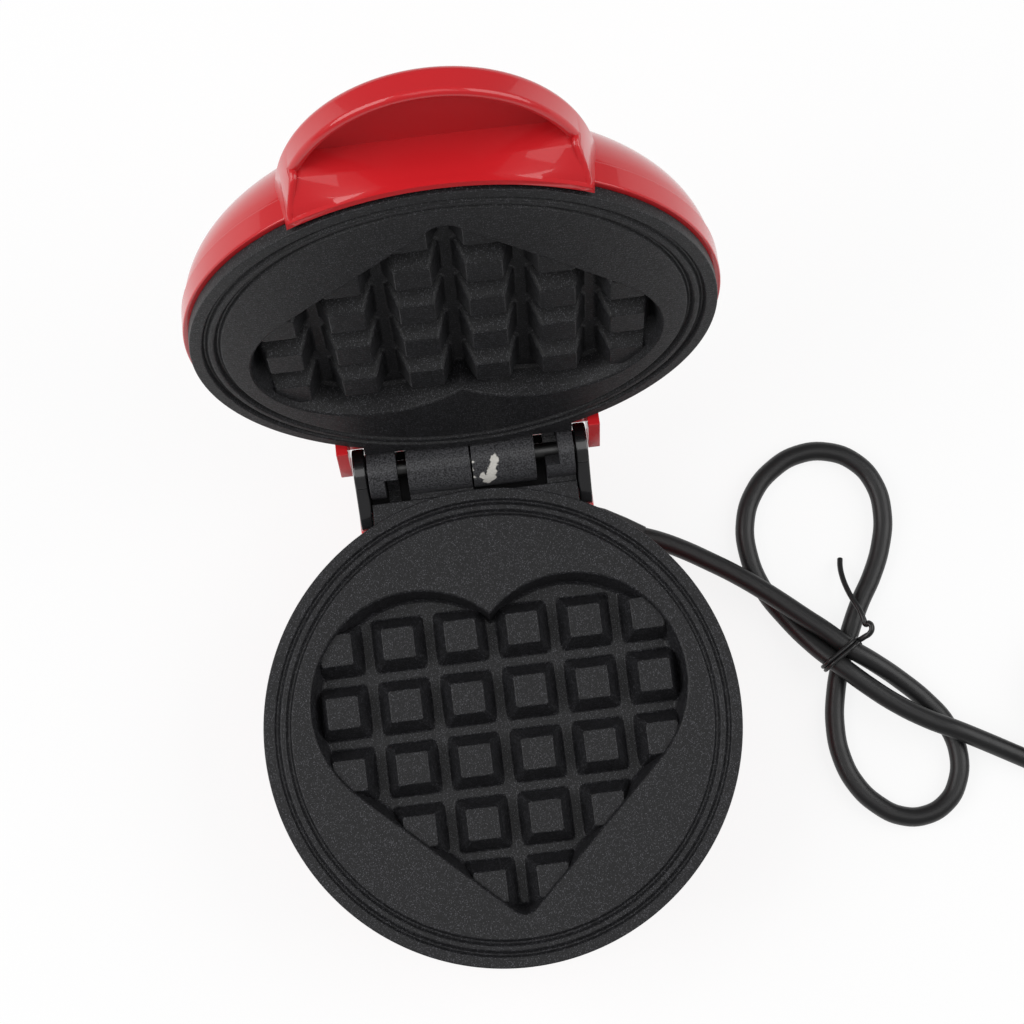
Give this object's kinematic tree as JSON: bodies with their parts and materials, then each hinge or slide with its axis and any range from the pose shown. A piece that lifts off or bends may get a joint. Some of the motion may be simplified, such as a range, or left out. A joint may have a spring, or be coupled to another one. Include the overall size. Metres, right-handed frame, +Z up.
{
  "type": "waffle maker",
  "caption": "Mini waffle maker, open: round hinged shells with heart-shaped grid plates, a D-shaped lift handle, rubber feet and a mains cord.",
  "frame": {"origin": "on the table, at the middle of the open machine's footprint, cord left out", "axes": "+X to the right, +Y towards the hinge, +Z up"},
  "size_m": [0.2736, 0.1882, 0.1792],
  "materials": {
    "shell": "gloss",
    "plate": "non-stick coating, fine sparkle",
    "element": "satin",
    "bright_steel": "satin",
    "pan": "bright",
    "ceramic": "matt",
    "fuse": "satin",
    "wire": "silicone",
    "cheek": "gloss",
    "foot_rubber": "matt",
    "cord_jacket": "satin",
    "plug_shell": "satin",
    "tie_band": "satin",
    "brass_blade": "bright",
    "lens": "gloss",
    "board": "matt"
  },
  "bodies": {
    "base": {"base_shell": "shell", "lower_plate": "plate", "lower_element": "element", "lower_reflector": "pan", "plate_screws": "bright_steel", "thermostat": "ceramic", "thermostat_clip": "bright_steel", "thermal_fuse": "fuse", "terminal_block": "ceramic", "base_leads": "wire", "foot_front_left": "foot_rubber", "foot_front_right": "foot_rubber", "foot_rear_left": "foot_rubber", "foot_rear_right": "foot_rubber", "hinge_saddle": "cheek", "hinge_cheek_left": "cheek", "hinge_cheek_right": "cheek", "hinge_pin": "bright_steel", "strain_relief": "cord_jacket", "cord": "cord_jacket", "cord_tie": "tie_band", "cord_coil": "cord_jacket", "coil_tie": "tie_band", "cord_tail": "cord_jacket", "plug_body": "plug_shell", "plug_blades": "brass_blade"},
    "lid": {"lid_shell": "shell", "handle": "shell", "upper_plate": "plate", "upper_element": "element", "upper_reflector": "pan", "reflector_screws": "bright_steel", "indicator_lens": "lens", "indicator_board": "board", "lid_leads": "wire"}
  },
  "joints": [
    {"name": "lid_hinge", "type": "hinge", "parent": "base", "child": "lid", "pos_m": [0, 0.03407, 0.036], "axis": [1, 0, 0], "range_deg": [0, 106.3]}
  ]
}
